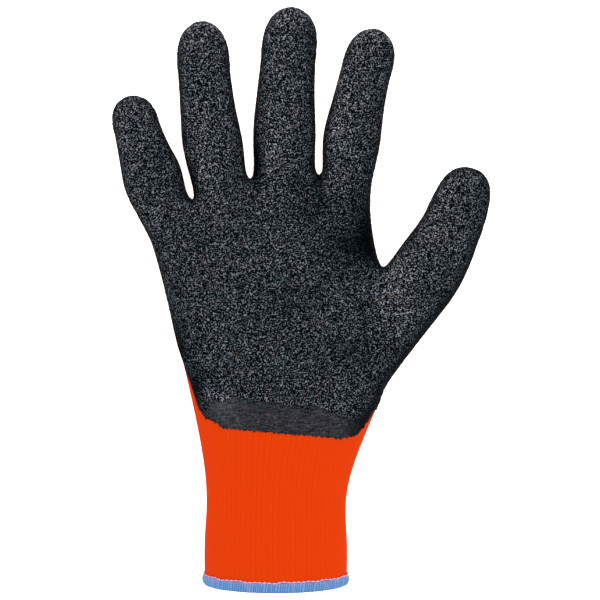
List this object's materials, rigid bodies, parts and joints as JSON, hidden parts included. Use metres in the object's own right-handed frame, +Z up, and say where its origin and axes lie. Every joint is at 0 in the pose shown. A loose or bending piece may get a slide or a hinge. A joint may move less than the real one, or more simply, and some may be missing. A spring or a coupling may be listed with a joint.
{
  "type": "latex coated work glove",
  "caption": "Right-hand seamless knit work glove with a crinkle latex palm coating and an overlocked cuff, lying palm up.",
  "frame": {"origin": "middle of the footprint, on the surface that the glove lies on", "axes": "+Y from the cuff to the fingertips, +X to the thumb, +Z up out of the palm"},
  "size_m": [0.1708, 0.2638, 0.0415],
  "materials": {
    "knit": "bright orange ten gauge plain knit",
    "latex": "crinkled near-black latex with a faint blue cast and a smooth band at its lower edge",
    "hem_thread": "light blue overlock thread with small pink stitches"
  },
  "bodies": {
    "root": {"knit_cuff": "knit", "knit_palm": "knit", "knit_little_finger": "knit", "knit_ring_finger": "knit", "knit_middle_finger": "knit", "knit_index_finger": "knit", "knit_thumb": "knit", "latex_coating": "latex", "hem_overlock": "hem_thread"}
  },
  "joints": []
}
